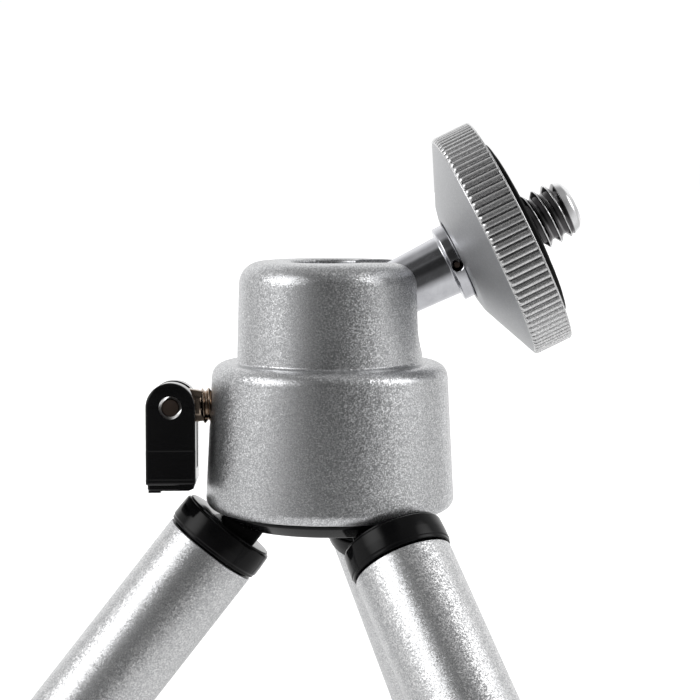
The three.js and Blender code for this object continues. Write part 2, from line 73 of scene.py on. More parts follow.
# camera platform, distances along the stem
RIM_START, RIM_END = 18.15, 22.44
DISK_RADIUS, TOOTH_DEPTH, TEETH = 12.68, 0.36, 96
ROWS_ROUND_A_TOOTH = 12
# the teeth's front ends, how far their back ends rise gradually, and the smooth ring in front of them
TEETH_END, TEETH_RISE, FRONT_RING_LOSS = 0.18, 0.5, 0.06
DISK_BORE, DISK_POCKET, DISK_POCKET_START = 2.2, 4.7, 18.8
# the cone at the back: radius, height behind the rim, and how far its corner is rounded
BACK_STEPS = ((5.1, 2.85, 0.3), (6.2, 2.61, 2.0))
PAD_SEAT, PAD_SEAT_RADIUS = 0.6, 10.1
WASHER_START, WASHER_END, WASHER_RADIUS = 15.55, 16.05, 3.85
WASHER_SEAT_RADIUS, WASHER_SEAT_DEPTH = 4.5, 1.05
# the pad's steps from the outside in: radius and height above the rim's front
PAD_STEPS = ((9.8, 0.7), (9.1, 0.85), (6.95, 1.1))
PAD_HOLE = 3.6
SCREW_RADIUS, SCREW_PITCH, SCREW_DEPTH = 3.175, 1.27, 0.68
SCREW_START, SCREW_THREAD_END, SCREW_TIP, SCREW_TIP_RADIUS = 11.2, 27.75, 28.85, 1.9
SCREW_POINT_RADIUS = 2.95
SCREW_SHANK, SCREW_GROOVE, SCREW_FLANGE = 1.9, 1.45, 4.4
# the crest is painted bright as a highlight from here on, across the thread and inward
HIGHLIGHT_FROM, HIGHLIGHT_DEPTH = 0.88, 0.1
FLANGE_START, FLANGE_END = 19.1, 21.3

# clamp screw and lever, distances from the head's axis toward -X
CLAMP_HEIGHT, CLAMP_ROLL = -15.4, math.radians(-4)
CLAMP_TIP, CLAMP_CONE_END, CLAMP_THREAD_END = 5.0, 6.9, 13.9
CLAMP_RADIUS, CLAMP_PITCH, CLAMP_DEPTH = 1.93, 0.7, 0.36
CLAMP_HOLE = 2.2
EYE_RADIUS, EYE_THICKNESS = 2.1, 2.6
PIN_AT, LEVER_PIN_RADIUS, LEVER_PIN_HOLE, LEVER_PIN_LENGTH = 16.8, 0.95, 1.2, 9.6
LEVER_HALF_WIDTH, LEVER_HALF_DEPTH, LEVER_LENGTH = 2.6, 5.0, 9.1
FORK_HALF_WIDTH, FORK_DEPTH, FORK_WALL = 1.6, 6.6, 1.4
LEVER_BOTTOM_ROUND = 0.8
# the broad faces end above the lever's lowest edge, and carry two sloped fields (upper and lower ends)
LEVER_FACE_LENGTH, LEVER_LIP_LENGTH, LEVER_LIP_HALF_DEPTH = 8.1, 8.85, 3.4
LEVER_TOE_WIDTH = 1.3
LEVER_FIELDS, LEVER_FIELD_DEPTH = ((-1.4, -4.6), (-4.75, -7.6)), 0.12
LEVER_EDGE = 0.3

# leg hub
HUB_RADIUS, HUB_TOP, HUB_BOTTOM = 11.75, -20.8, -28.0
HUB_BOTTOM_RADIUS, HUB_SIDE_BOTTOM = 9.9, -26.75
HUB_CORE, HUB_SLOT, HUB_RECESS, HUB_RECESS_DEPTH = 4.5, 5.6, 3.4, 0.5
HUB_SCREW_AT, HUB_SCREW_HEAD, HUB_SCREW_HEIGHT = 8.1, 1.35, 1.0
HUB_SCREW_SHANK, HUB_SCREW_BOTTOM, HUB_SCREW_LENGTH = 0.8, -27.5, 10.0
# each bar of the cross recess: half its length, half its width, and its depth
HUB_SCREW_RECESS = (0.75, 0.17, 0.5)

# legs, distances down the leg from its hinge pin
LEG_NAMES = ("left", "front", "rear")
FIRST_AZIMUTH = math.radians(184.76)
LEG_SPLAY = math.radians(38.34)
HINGE_RADIUS, HINGE_HEIGHT = 7.88, -24.46
HINGE_PIN_RADIUS, HINGE_PIN_HOLE, HINGE_PIN_LENGTH = 1.0, 1.27, 11.6
TONGUE_RADIUS, TONGUE_WIDTH = 3.0, 5.0
TONGUE_FOOT_INNER, TONGUE_FOOT_OUTER = -3.0, 1.2
KNUCKLE_PAD, KNUCKLE_TOP, KNUCKLE_BOTTOM = 4.6, 4.8, 7.7
KNUCKLE_RADIUS, KNUCKLE_PAD_RADIUS = 5.45, 5.1
SPIGOT_RADIUS, SPIGOT_END = 4.55, 13.6
OUTER_START, OUTER_END, OUTER_RADIUS, OUTER_BORE, OUTER_NECK = 7.95, 76.0, 5.25, 4.8, 4.25
MID_START, MID_END, MID_RADIUS, MID_BORE, MID_NECK = 15.0, 78.0, 4.0, 3.55, 3.05
INNER_START, INNER_END, INNER_RADIUS, INNER_BORE = 16.0, 88.0, 2.8, 2.3
FOOT_START, FOOT_TIP, FOOT_RADIUS, FOOT_TOP = 79.6, 92.0, 5.0, 4.3
FOOT_SOCKET, FOOT_SOCKET_END = 3.05, 88.4
# the round feet are smaller by this, so that they stay inside the CAD's faceted ones
FOOT_LOSS = 0.06

# room around a piece that another one holds
GAP = 0.3
# below this a length counts as nothing
TINY = 1e-6

# ------------------------------------------------------------------ places


def shift(x, y, z):
    """A translation given in mm."""
    return Matrix.Translation(Vector((x, y, z)) * MM)


def turn(angle, axis):
    return Matrix.Rotation(angle, 4, axis)


housing_low, housing_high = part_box("head_housing")
HEAD = Matrix.Translation(
    ((housing_low.x + housing_high.x) / 2, (housing_low.y + housing_high.y) / 2, housing_high.z)
)
STEM = HEAD @ shift(0, 0, BALL_HEIGHT) @ turn(QUARTER_TURN - STEM_ELEVATION, "Y")
CLAMP = HEAD @ shift(0, 0, CLAMP_HEIGHT) @ turn(CLAMP_ROLL, "X")


def leg_azimuth(index):
    return FIRST_AZIMUTH + index * TURN / 3


def leg_frame(index):
    """A leg's own directions: -Z down the leg from the hinge pin, +X away from the head."""
    azimuth = leg_azimuth(index)
    hinge = shift(HINGE_RADIUS * math.cos(azimuth), HINGE_RADIUS * math.sin(azimuth), HINGE_HEIGHT)
    return HEAD @ hinge @ turn(azimuth, "Z") @ turn(-LEG_SPLAY, "Y")


# ------------------------------------------------------------------ mesh code

# a thread's flank: its slope across half a pitch, and how much of the flank the root takes
THREAD_STEEPNESS, THREAD_ROOT_WIDTH = 1.4, 0.25


def rounded(corners, steps=6):
    """An outline through corners of (radius, height) or (radius, height, fillet), fillets drawn as arcs."""
    points = []
    count = len(corners)
    for index, corner in enumerate(corners):
        here = Vector(corner[:2])
        fillet = corner[2] if len(corner) > 2 else 0
        if not fillet:
            points.append(tuple(here))
            continue
        back = (Vector(corners[index - 1][:2]) - here).normalized()
        on = (Vector(corners[(index + 1) % count][:2]) - here).normalized()
        half = back.angle(on) / 2
        centre = here + (back + on).normalized() * fillet / math.sin(half)
        start = here + back * fillet / math.tan(half) - centre
        end = here + on * fillet / math.tan(half) - centre
        sweep = HALF_TURN - 2 * half
        if start.x * end.y - start.y * end.x < 0:
            sweep = -sweep
        for step in range(steps + 1):
            angle = sweep * step / steps
            cos, sin = math.cos(angle), math.sin(angle)
            x = centre.x + start.x * cos - start.y * sin
            y = centre.y + start.x * sin + start.y * cos
            points.append((x, y))
    return points


def arc(centre_x, centre_y, radius, start, end, steps):
    """Points of an arc from one angle to another, both ends included."""
    angles = [start + (end - start) * step / steps for step in range(steps + 1)]
    return [(centre_x + radius * math.cos(a), centre_y + radius * math.sin(a)) for a in angles]


def revolve(outline, segments, reach=None):
    """Vertices and faces of a closed outline turned about Z. reach(radius, height, angle) changes radii."""
    verts, faces, rings = [], [], []
    for radius, height in outline:
        if radius < TINY:
            rings.append([len(verts)])
            verts.append((0, 0, height))
            continue
        rings.append(list(range(len(verts), len(verts) + segments)))
        for step in range(segments):
            angle = TURN * step / segments
            r = reach(radius, height, angle) if reach else radius
            verts.append((r * math.cos(angle), r * math.sin(angle), height))
    for low, high in zip(rings, rings[1:] + rings[:1]):
        if len(low) == 1 and len(high) == 1:
            continue
        for step in range(segments):
            on = step + 1
            ring = (low[step % len(low)], low[on % len(low)], high[on % len(high)], high[step % len(high)])
            faces.append(tuple(dict.fromkeys(ring)))
    return verts, faces


def loft(sections):
    """Vertices and faces of a solid through sections of equal numbers of points, closed at both ends."""
    count = len(sections[0])
    verts = [point for section in sections for point in section]
    faces = [tuple(range(count)), tuple(range(len(verts) - count, len(verts)))]
    for level in range(len(sections) - 1):
        for step in range(count):
            on = (step + 1) % count
            low = level * count
            faces.append((low + step, low + on, low + count + on, low + count + step))
    return verts, faces


def inset(outline, distance, sharpest=0.3):
    """A closed counter-clockwise outline moved inward by a distance, reaching less at sharp corners."""
    moved = []
    count = len(outline)
    for index in range(count):
        before, here, after = (Vector(outline[(index + k) % count]) for k in (-1, 0, 1))
        first, second = (here - before).normalized(), (after - here).normalized()
        normal = Vector((-first.y - second.y, first.x + second.x)).normalized()
        spread = max(sharpest, normal.dot(Vector((-first.y, first.x))))
        moved.append(tuple(here + normal * distance / spread))
    return moved


def plate(outline, half, edge, steps=4):
    """A flat outline in X and Z, thick along Y by half to each side, its two rims rounded by edge."""
    rim = [QUARTER_TURN * step / steps for step in range(steps + 1)]
    near = [(edge * (1 - math.sin(angle)) - half, edge * (1 - math.cos(angle))) for angle in reversed(rim)]
    far = [(-y, depth) for y, depth in reversed(near)]
    return loft([[(x, y, z) for x, z in inset(outline, depth)] for y, depth in near + far])


def block(low, high):
    """The vertices and faces of a box between two corners, for cutting."""
    verts = [(x, y, z) for x in (low[0], high[0]) for y in (low[1], high[1]) for z in (low[2], high[2])]
    faces = [(0, 1, 3, 2), (4, 6, 7, 5), (0, 4, 5, 1), (2, 3, 7, 6), (0, 2, 6, 4), (1, 5, 7, 3)]
    return verts, faces


def bar(radius, start, end, segments=48, chamfer=0.0):
    """A round bar along Z, with chamfered ends if asked."""
    outline = [(0, start), (radius - chamfer, start)]
    if chamfer:
        outline += [(radius, start + chamfer), (radius, end - chamfer)]
    outline += [(radius - chamfer, end), (0, end)]
    return revolve(outline, segments)


def from_thread_root(height, angle, pitch):
    """Where a point lies across a thread that winds about Z: 0 on the root's line and 1 on the crest's."""
    turns = height / pitch - angle / TURN
    return abs(turns - round(turns)) * 2


def threaded(radius, pitch, depth, start, end, segments=56, rows_per_pitch=20):
    """A threaded rod along Z with steep flanks, its ridge fading out over half a pitch at both ends."""
    rows = math.ceil((end - start) / pitch * rows_per_pitch)
    heights = [start + (end - start) * row / rows for row in range(rows + 1)]

    def reach(_, height, angle):
        fade = min(1, (height - start) / (pitch / 2), (end - height) / (pitch / 2))
        ridge = min(1, max(0, from_thread_root(height, angle, pitch) * THREAD_STEEPNESS - THREAD_ROOT_WIDTH))
        return radius - depth * (1 - max(0, fade) * ridge)

    return revolve([(0, start)] + [(radius, h) for h in heights] + [(0, end)], segments, reach)


def moved(shape, matrix):
    """A shape's vertices and faces after a transform whose translation is in mm."""
    verts, faces = shape
    return [tuple(matrix @ Vector(v)) for v in verts], faces


def mm_shift(x, y, z):
    return Matrix.Translation((x, y, z))


def solid(name, shapes, place):
    """An object of one or more closed shapes, given in mm in the directions of place."""
    verts, faces = [], []
    for shape_verts, shape_faces in shapes:
        start = len(verts)
        verts += [tuple(c * MM for c in v) for v in shape_verts]
        faces += [tuple(start + i for i in face) for face in shape_faces]
    mesh = bpy.data.meshes.new(name)
    mesh.from_pydata(verts, [], faces)
    mesh.transform(place)
    work = bmesh.new()
    work.from_mesh(mesh)
    bmesh.ops.recalc_face_normals(work, faces=work.faces)
    work.to_mesh(mesh)
    work.free()
    made = bpy.data.objects.new(name, mesh)
    bpy.context.scene.collection.objects.link(made)
    return made


def boolean(target, others, operation):
    """Cuts the other objects from the target, or joins them to it, and removes them."""
    for other in others:
        modifier = target.modifiers.new("boolean", "BOOLEAN")
        modifier.operation = operation
        modifier.solver = "EXACT"
        modifier.object = other
    bpy.context.view_layer.update()
    result = bpy.data.meshes.new_from_object(
        target.evaluated_get(bpy.context.evaluated_depsgraph_get())
    )
    target.modifiers.clear()
    target.data = result
    for other in others:
        bpy.data.objects.remove(other)


def finish_piece(piece, body, material, slot, nodes, sharp=32):
    """Shades a piece, gives it its material, and ties it to its body and to the CAD nodes it stands for."""
    mesh = piece.data
    mesh.materials.clear()
    mesh.materials.append(material)
    mesh.polygons.foreach_set("material_index", [0] * len(mesh.polygons))
    mesh.shade_smooth()
    mesh.set_sharp_from_angle(angle=math.radians(sharp))
    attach(piece, body)
    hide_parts(*nodes)
    return piece


# ------------------------------------------------------------------ materials


class Nodes:
    """Shorthand for building one material's or world's node tree."""

    def __init__(self, owner):
        owner.use_nodes = True
        self.tree = owner.node_tree

    def add(self, kind, settings=None, **inputs):
        made = self.tree.nodes.new(kind)
        for key, value in (settings or {}).items():
            setattr(made, key, value)
        for key, value in inputs.items():
            self.put(made, key.replace("_", " "), value)
        return made

    def put(self, node, key, value):
        socket = node.inputs[key]
        if isinstance(value, bpy.types.NodeSocket):
            self.tree.links.new(value, socket)
        else:
            socket.default_value = value

    def object_place(self):
        return self.add("ShaderNodeTexCoord").outputs["Object"]

    def noise(self, scale, detail=3.0, roughness=0.5, place=None):
        made = self.add("ShaderNodeTexNoise", Scale=scale, Detail=detail, Roughness=roughness)
        self.put(made, "Vector", place or self.object_place())
        return made.outputs["Fac"]

    def spread(self, value, low, high, from_low=0.0, from_high=1.0):
        """A value taken from one range to another, held at its ends."""
        made = self.add("ShaderNodeMapRange")
        self.put(made, "Value", value)
        self.put(made, "From Min", from_low)
        self.put(made, "From Max", from_high)
        self.put(made, "To Min", low)
        self.put(made, "To Max", high)
        return made.outputs["Result"]

    def blend(self, factor, first, second):
        made = self.add("ShaderNodeMix", {"data_type": "RGBA"})
        self.put(made, "Factor", factor)
        for socket, value in zip([s for s in made.inputs if s.type == "RGBA"], (first, second)):
            if isinstance(value, bpy.types.NodeSocket):
                self.tree.links.new(value, socket)
            else:
                socket.default_value = (*value, 1)
        return next(s for s in made.outputs if s.type == "RGBA")

    def bump(self, height, distance, strength):
        made = self.add("ShaderNodeBump", Strength=strength, Distance=distance, Height=height)
        return made.outputs["Normal"]


def new_material(name):
    material = bpy.data.materials.new(name)
    nodes = Nodes(material)
    return material, nodes, nodes.tree.nodes["Principled BSDF"]


# flakes per metre, how much the bright flakes are in the minority, and how metallic the paint is
FLAKE_SCALE, FLAKE_RARITY, PAINT_METALLIC = 10500.0, 1.8, 0.92


def silver_paint(name, grain, roughness, light=(0.95, 0.955, 0.965), dark=(0.4, 0.405, 0.415)):
    """Metallic paint of tilted flakes smaller than 0.2 mm, most of them dull and a few bright."""
    material, nodes, shader = new_material(name)
    place = nodes.object_place()
    flakes = nodes.add("ShaderNodeTexVoronoi", Scale=FLAKE_SCALE, Vector=place)
    tilt = nodes.add("ShaderNodeVectorMath", {"operation": "SUBTRACT"})
    nodes.put(tilt, 0, flakes.outputs["Color"])
    tilt.inputs[1].default_value = (0.5, 0.5, 0.5)
    scaled = nodes.add("ShaderNodeVectorMath", {"operation": "SCALE"})
    nodes.put(scaled, 0, tilt.outputs[0])
    scaled.inputs["Scale"].default_value = grain
    total = nodes.add("ShaderNodeVectorMath", {"operation": "ADD"})
    nodes.put(total, 0, scaled.outputs[0])
    nodes.put(total, 1, nodes.add("ShaderNodeNewGeometry").outputs["Normal"])
    normal = nodes.add("ShaderNodeVectorMath", {"operation": "NORMALIZE"})
    nodes.put(normal, 0, total.outputs[0])
    speckle = nodes.add("ShaderNodeSeparateColor")
    nodes.put(speckle, "Color", flakes.outputs["Color"])
    cloud = nodes.noise(350.0, 2.0, place=place)
    shade = nodes.add("ShaderNodeMath", {"operation": "POWER"})
    nodes.put(shade, 0, speckle.outputs[0])
    shade.inputs[1].default_value = FLAKE_RARITY
    nodes.put(shader, "Base Color", nodes.blend(shade.outputs[0], dark, light))
    nodes.put(shader, "Roughness", nodes.spread(cloud, roughness - 0.02, roughness + 0.02))
    nodes.put(shader, "Normal", normal.outputs[0])
    shader.inputs["Metallic"].default_value = PAINT_METALLIC
    return material


def metal(name, colour, roughness, worn=0.08):
    """Plated or bare metal with faint wiping marks."""
    material, nodes, shader = new_material(name)
    place = nodes.object_place()
    smears = nodes.noise(420.0, 4.0, 0.6, place)
    darker = tuple(c * 0.82 for c in colour)
    nodes.put(shader, "Base Color", nodes.blend(nodes.spread(smears, 0, 1, 0.35, 0.7), darker, colour))
    nodes.put(shader, "Roughness", nodes.spread(smears, roughness, roughness + worn, 0.3, 0.75))
    nodes.put(shader, "Normal", nodes.bump(nodes.noise(1800.0, 2.0, place=place), 0.00001, 0.12))
    shader.inputs["Metallic"].default_value = 1
    return material


def moulded(name, colour, roughness, peel, scale, specular=0.5):
    """Moulded plastic or rubber: one colour with slight clouds, and an orange-peel or matt grain."""
    material, nodes, shader = new_material(name)
    place = nodes.object_place()
    clouds = nodes.noise(160.0, 3.0, 0.55, place)
    paler = tuple(c * 1.6 + 0.0005 for c in colour)
    nodes.put(shader, "Base Color", nodes.blend(clouds, colour, paler))
    nodes.put(shader, "Roughness", nodes.spread(clouds, roughness * 0.8, roughness * 1.25, 0.3, 0.7))
    nodes.put(shader, "Normal", nodes.bump(nodes.noise(scale, 3.0, place=place), peel, 0.4))
    shader.inputs["Specular IOR Level"].default_value = specular
    return material


housing_paint = silver_paint("silver_paint_cast", 0.2, 0.31)
tube_paint = silver_paint("silver_paint_tube", 0.22, 0.33, (1.0, 1.0, 1.0), (0.5, 0.505, 0.515))
back_paint = silver_paint("silver_paint_platform", 0.02, 0.42, (0.58, 0.585, 0.595), (0.5, 0.505, 0.515))
rib_paint = silver_paint("silver_paint_ribs", 0.05, 0.26, (0.95, 0.95, 0.95), (0.62, 0.62, 0.625))
# the grooves' paint is a darker copy of the rib paint: painted shade in the grooves
groove_painted_shade = silver_paint("silver_paint_grooves_painted_shade", 0.05, 0.4, (0.3, 0.3, 0.305), (0.14, 0.14, 0.145))
chrome = metal("chrome_plate", (0.74, 0.745, 0.78), 0.1)
bright_steel = metal("bright_steel", (0.7, 0.7, 0.71), 0.16)
dark_chrome = metal("dark_chrome", (0.32, 0.315, 0.32), 0.05, 0.04)
# a lighter copy of the dark chrome, for painted highlights on the screw's crests and tip
crest_painted_highlight = metal("dark_chrome_painted_highlight", (0.95, 0.95, 0.96), 0.14, 0.04)
dark_steel = metal("dark_steel", (0.16, 0.12, 0.1), 0.35)
tinted_steel = metal("brass_tinted_steel", (0.56, 0.45, 0.36), 0.1)
polished_tube = metal("polished_tube", (0.74, 0.745, 0.76), 0.14)
gloss_black = moulded("gloss_black_plastic", (0.002, 0.002, 0.0022), 0.11, 0.00002, 500.0, 0.16)
lever_black = moulded("gloss_black_lever", (0.002, 0.002, 0.0022), 0.08, 0.00001, 300.0, 0.35)
pad_rubber = moulded("black_rubber", (0.003, 0.003, 0.003), 0.45, 0.00004, 2500.0, 0.12)
nylon = moulded("nylon", (0.45, 0.45, 0.44), 0.4, 0.00002, 1500.0)

# ------------------------------------------------------------------ head


def head_housing():
    crown = math.acos(OPENING_RADIUS / SEAT_RADIUS)
    outline = rounded((
        (SKIRT_RADIUS, HEAD_BOTTOM, 0.25),
        (HEAD_BOTTOM_RADIUS, HEAD_BOTTOM, HEAD_BOTTOM_ROUND),
        (LOWER_RADIUS, LEDGE, LOWER_SHOULDER),
        (LEDGE_RADIUS, LEDGE, 0.3),
        (UPPER_RADIUS, 0, UPPER_SHOULDER),
        (OPENING_RADIUS, 0, 0.35),
        (OPENING_RADIUS + 0.2, BALL_HEIGHT + SEAT_RADIUS * math.sin(crown) - 0.3),
    ), 10)
    outline += arc(0, BALL_HEIGHT, SEAT_RADIUS, crown - 0.12, 0, 16)
    outline += [(SEAT_RADIUS, SKIRT_CEILING), (SKIRT_RADIUS, SKIRT_CEILING)]
    piece = solid("head_housing_fine", [revolve(outline, 192)], HEAD)
    u_shape = [(SLOT_HALF_WIDTH, 8), (-SLOT_HALF_WIDTH, 8)] + arc(0, 0, SLOT_HALF_WIDTH, HALF_TURN, TURN, 24)
    reach = HEAD_BOTTOM_RADIUS + 1
    slot = loft([[(x, y, z + BALL_HEIGHT) for y, z in u_shape] for x in (0, reach)])
    clamp_hole = moved(bar(CLAMP_HOLE, 5, 15), mm_shift(0, 0, CLAMP_HEIGHT) @ turn(-QUARTER_TURN, "Y"))
    cutters = [solid("cutter", [shape], HEAD) for shape in (slot, clamp_hole)]
    boolean(piece, cutters, "DIFFERENCE")
    finish_piece(piece, "head", housing_paint, "silver_paint", ["head_housing"])


def leg_hub():
    outline = rounded((
        (0, HUB_BOTTOM + HUB_RECESS_DEPTH),
        (HUB_RECESS, HUB_BOTTOM + HUB_RECESS_DEPTH),
        (HUB_RECESS + HUB_RECESS_DEPTH, HUB_BOTTOM, 0.15),
        (HUB_BOTTOM_RADIUS, HUB_BOTTOM, 0.5),
        (HUB_RADIUS, HUB_SIDE_BOTTOM, 0.5),
        (HUB_RADIUS, HUB_TOP, 0.2),
        (0, HUB_TOP),
    ))
    piece = solid("leg_hub_fine", [revolve(outline, 144)], HEAD)
    cutters = []
    for index in range(len(LEG_NAMES)):
        place = HEAD @ turn(leg_azimuth(index), "Z")
        half = HUB_SLOT / 2
        slot = block((HUB_CORE, -half, HUB_BOTTOM - 3), (HUB_RADIUS + 3, half, HUB_TOP + 3))
        hole = moved(
            bar(HINGE_PIN_HOLE, -HUB_RADIUS, HUB_RADIUS, 32),
            mm_shift(HINGE_RADIUS, 0, HINGE_HEIGHT) @ turn(QUARTER_TURN, "X"),
        )
        screw_place = HEAD @ turn(leg_azimuth(index) + TURN / 6, "Z") @ shift(HUB_SCREW_AT, 0, 0)
        seat_top = HUB_SCREW_BOTTOM + HUB_SCREW_HEIGHT + GAP
        seat = bar(HUB_SCREW_HEAD + GAP, HUB_BOTTOM - 1, seat_top, 40)
        cutters += [solid("cutter", [slot], place), solid("cutter", [hole], place)]
        cutters.append(solid("cutter", [seat], screw_place))
    boolean(piece, cutters, "DIFFERENCE")
    finish_piece(piece, "head", gloss_black, "black_plastic", ["leg_hub"])


def hub_screw(index):
    head, bottom = HUB_SCREW_HEAD, HUB_SCREW_BOTTOM
    outline = rounded((
        (0, bottom),
        (head * 0.75, bottom, 0.4),
        (head, bottom + 0.4, 0.25),
        (head, bottom + HUB_SCREW_HEIGHT, 0.1),
        (HUB_SCREW_SHANK, bottom + HUB_SCREW_HEIGHT),
        (HUB_SCREW_SHANK, bottom + HUB_SCREW_LENGTH - 0.6),
        (HUB_SCREW_SHANK * 0.4, bottom + HUB_SCREW_LENGTH),
        (0, bottom + HUB_SCREW_LENGTH),
    ))
    place = HEAD @ turn(leg_azimuth(index) + TURN / 6, "Z") @ shift(HUB_SCREW_AT, 0, 0)
    piece = solid(f"hub_screw_{index + 1}_fine", [revolve(outline, 48)], place)
    half_long, half_wide, deep = HUB_SCREW_RECESS
    blade = block((-half_long, -half_wide, bottom - deep), (half_long, half_wide, bottom + deep))
    cutters = [solid("cutter", [moved(blade, turn(angle, "Z"))], place) for angle in (0, QUARTER_TURN)]
    boolean(piece, cutters, "DIFFERENCE")
    finish_piece(piece, "head", bright_steel, "bright_steel", [f"hub_screw_{index + 1}"])


# ------------------------------------------------------------------ ball stem and platform


def across_stem(shape):
    """Lays a shape that runs along Z across the stem at the set pin's place."""
    return moved(shape, mm_shift(0, 0, SET_PIN_AT) @ turn(SET_PIN_ROLL, "Z") @ turn(QUARTER_TURN, "X"))


def ball_stem():
    root_height = math.sqrt(BALL_RADIUS**2 - STEM_ROOT**2)
    start, end = -QUARTER_TURN, math.atan2(root_height, STEM_ROOT)
    outline = arc(0, 0, BALL_RADIUS, start, end, 60)
    outline[0] = (0, -BALL_RADIUS)
    # the row just before the collar keeps the stem's shading straight
    outline += rounded((
        (STEM_END, COLLAR_START - 0.3),
        (STEM_END, COLLAR_START, 0.2),
        (COLLAR_RADIUS, COLLAR_START, 0.22),
        (COLLAR_RADIUS, COLLAR_END, 0.22),
        (STEM_BORE_RADIUS, COLLAR_END, 0.15),
        (STEM_BORE_RADIUS, STEM_BORE_START),
        (0, STEM_BORE_START - 0.6),
        (0, 0),
    ), 5)[:-1]
    piece = solid("ball_stem_fine", [revolve(outline, 96)], STEM)
    hole = bar(SET_PIN_HOLE, 1, 6, 32)
    rim = COLLAR_RADIUS - 0.12
    mouth = revolve([(0, rim), (SET_PIN_HOLE, rim), (SET_PIN_HOLE + 0.6, rim + 0.6), (0, rim + 0.6)], 32)
    cutters = [solid("cutter", [across_stem(shape)], STEM) for shape in (hole, mouth)]
    boolean(piece, cutters, "DIFFERENCE")
    finish_piece(piece, "ball", chrome, "chrome_plate", ["ball_stem"])


def stem_set_pin():
    pin = across_stem(bar(SET_PIN_RADIUS, SCREW_GROOVE + GAP, COLLAR_RADIUS - 0.6, 24, 0.08))
    piece = solid("stem_set_pin_fine", [pin], STEM)
    finish_piece(piece, "ball", dark_steel, "dark_steel", ["stem_set_pin"])


def thrust_washer():
    outline = rounded((
        (STEM_BORE_RADIUS, WASHER_START, 0.05),
        (WASHER_RADIUS, WASHER_START, 0.12),
        (WASHER_RADIUS, WASHER_END, 0.12),
        (STEM_BORE_RADIUS, WASHER_END, 0.05),
    ), 4)
    piece = solid("thrust_washer_fine", [revolve(outline, 96)], STEM)
    finish_piece(piece, "ball", nylon, "nylon", ["thrust_washer"])


def rib_crest(phase, crown=0.7, crown_edge=0.7, flank=0.16):
    """A rib's height across its width, from phase 0 in its middle to 1 in the groove.

    The crown falls slowly to crown_edge, and the flank then falls steeply to the groove.
    """
    if phase < crown:
        return 1 - (1 - crown_edge) * (phase / crown) ** 2
    return crown_edge * max(0, 1 - (phase - crown) / flank)


def platform_disk():
    valley = DISK_RADIUS - TOOTH_DEPTH
    ring = DISK_RADIUS - FRONT_RING_LOSS
    teeth_end = RIM_END - TEETH_END
    back = [(radius, RIM_START - height, fillet) for radius, height, fillet in BACK_STEPS]
    back_face = back[0][1]
    rim_rows = [RIM_START + TEETH_RISE * k / 6 for k in range(7)]
    rim_rows += [teeth_end - 0.16, teeth_end - 0.08, teeth_end]
    outline = rounded((
        (DISK_BORE, back_face + WASHER_SEAT_DEPTH),
        (WASHER_SEAT_RADIUS, back_face + WASHER_SEAT_DEPTH),
        (WASHER_SEAT_RADIUS, back_face, 0.1),
        *back,
        (valley, RIM_START, 0.15),
        (valley, RIM_END),
    ), 5)[:-1]
    outline += [(valley, height) for height in rim_rows[1:]]
    outline += rounded((
        (ring, teeth_end, 0.05),
        (ring, RIM_END, 0.1),
        (PAD_SEAT_RADIUS, RIM_END, 0.1),
        (PAD_SEAT_RADIUS, RIM_END - PAD_SEAT),
        (DISK_POCKET, RIM_END - PAD_SEAT),
        (DISK_POCKET, DISK_POCKET_START),
        (DISK_BORE, DISK_POCKET_START),
        (valley, teeth_end),
    ), 4)[:-1]

    def ribs(radius, height, angle):
        if abs(radius - valley) > TINY or not RIM_START + TINY < height <= teeth_end:
            return radius
        crest = rib_crest(abs((angle * TEETH / TURN) % 1 - 0.5) * 2)
        back_end = min(1, (height - RIM_START) / TEETH_RISE)
        return radius + TOOTH_DEPTH * crest * math.sqrt(1 - (1 - back_end) ** 2)

    piece = solid("platform_disk_fine", [revolve(outline, TEETH * ROWS_ROUND_A_TOOTH, ribs)], STEM)
    finish_piece(piece, "platform", back_paint, "silver_paint", ["platform_disk"], 40)
    piece.data.materials.append(rib_paint)
    piece.data.materials.append(groove_painted_shade)
    to_stem = STEM.inverted()
    # rim faces take the rib paint, and faces low in the grooves take the darker paint, which is painted shade
    for face in piece.data.polygons:
        place = to_stem @ face.center / MM
        radius = math.hypot(place.x, place.y)
        if place.z > RIM_START and radius > PAD_SEAT_RADIUS:
            is_low = radius < valley + TOOTH_DEPTH * 0.4
            in_groove = is_low and RIM_START + TEETH_RISE / 2 < place.z < teeth_end
            face.material_index = 2 if in_groove else 1


def platform_pad():
    back = RIM_END - PAD_SEAT + GAP
    corners = [(PAD_HOLE, back), (PAD_STEPS[0][0], back)]
    for (radius, height), (inner, _) in zip(PAD_STEPS, PAD_STEPS[1:] + ((PAD_HOLE, 0),)):
        corners += [(radius, RIM_END + height, 0.12), (inner, RIM_END + height, 0.08)]
    piece = solid("platform_pad_fine", [revolve(rounded(corners, 4), 128)], STEM)
    finish_piece(piece, "platform", pad_rubber, "black_rubber", ["platform_pad"])


